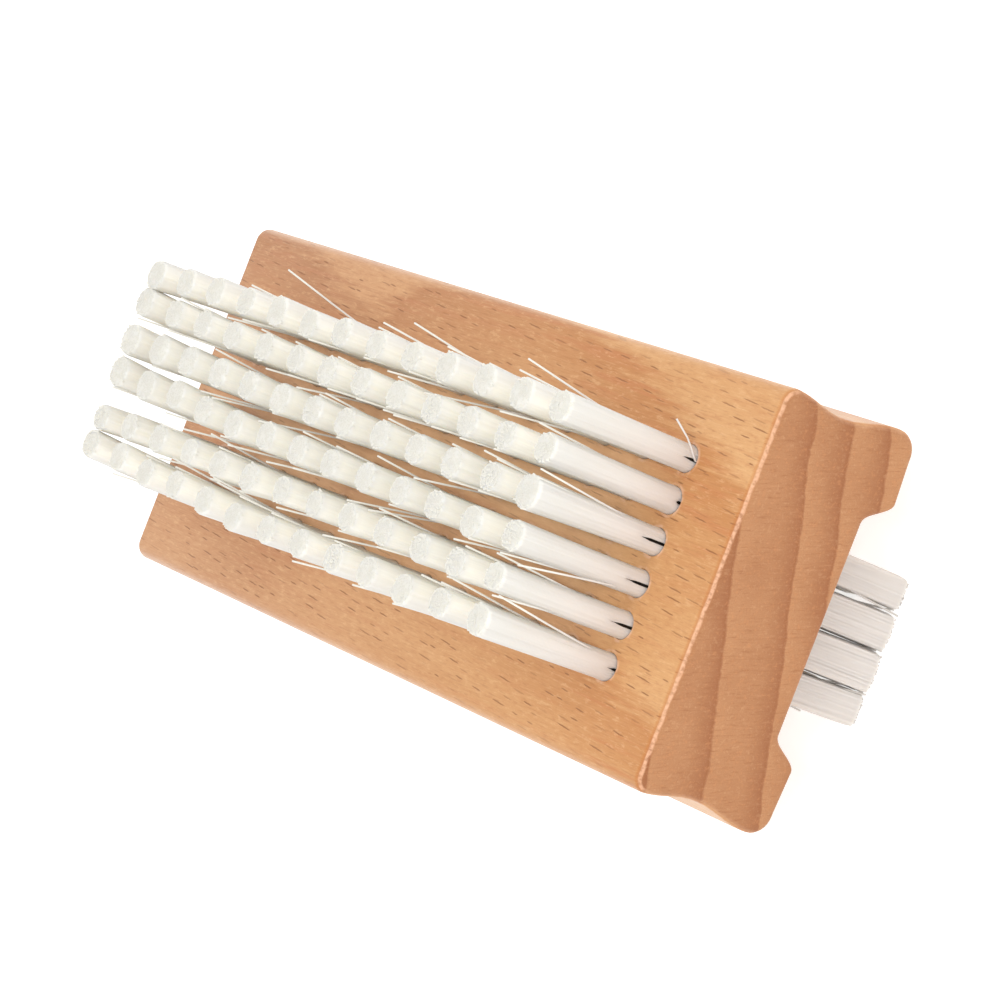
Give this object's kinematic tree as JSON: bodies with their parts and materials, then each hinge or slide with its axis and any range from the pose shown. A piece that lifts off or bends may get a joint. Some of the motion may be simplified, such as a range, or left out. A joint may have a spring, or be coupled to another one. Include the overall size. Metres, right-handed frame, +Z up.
{
  "type": "nail brush",
  "caption": "Two-sided wooden nail brush: a waisted block with rows of upright white bristles on its top face and in the channel under it.",
  "frame": {"origin": "centre of the footprint, on the level tips of the lower bristles", "axes": "+X along the block, +Y across it, +Z up from the lower bristles to the upper ones"},
  "size_m": [0.095, 0.0404, 0.0469],
  "materials": {
    "wood": "beech, planed along the grain with short dark rays on the top, end grain with growth rings on the ends, thin satin oil finish",
    "bristle": "fine ivory white nylon filaments, slightly translucent, cut level at the tips",
    "anchor": "flat drawn anchor wire, hidden in the folds of the tufts"
  },
  "bodies": {
    "root": {"wood_block": "wood", "upper_bristle_row_1": "bristle", "upper_bristle_row_2": "bristle", "upper_bristle_row_3": "bristle", "upper_bristle_row_4": "bristle", "upper_bristle_row_5": "bristle", "upper_bristle_row_6": "bristle", "lower_bristle_row_1": "bristle", "lower_bristle_row_2": "bristle", "lower_bristle_row_3": "bristle", "lower_bristle_row_4": "bristle", "upper_anchor_row_1": "anchor", "upper_anchor_row_2": "anchor", "upper_anchor_row_3": "anchor", "upper_anchor_row_4": "anchor", "upper_anchor_row_5": "anchor", "upper_anchor_row_6": "anchor", "lower_anchor_row_1": "anchor", "lower_anchor_row_2": "anchor", "lower_anchor_row_3": "anchor", "lower_anchor_row_4": "anchor"}
  },
  "joints": []
}
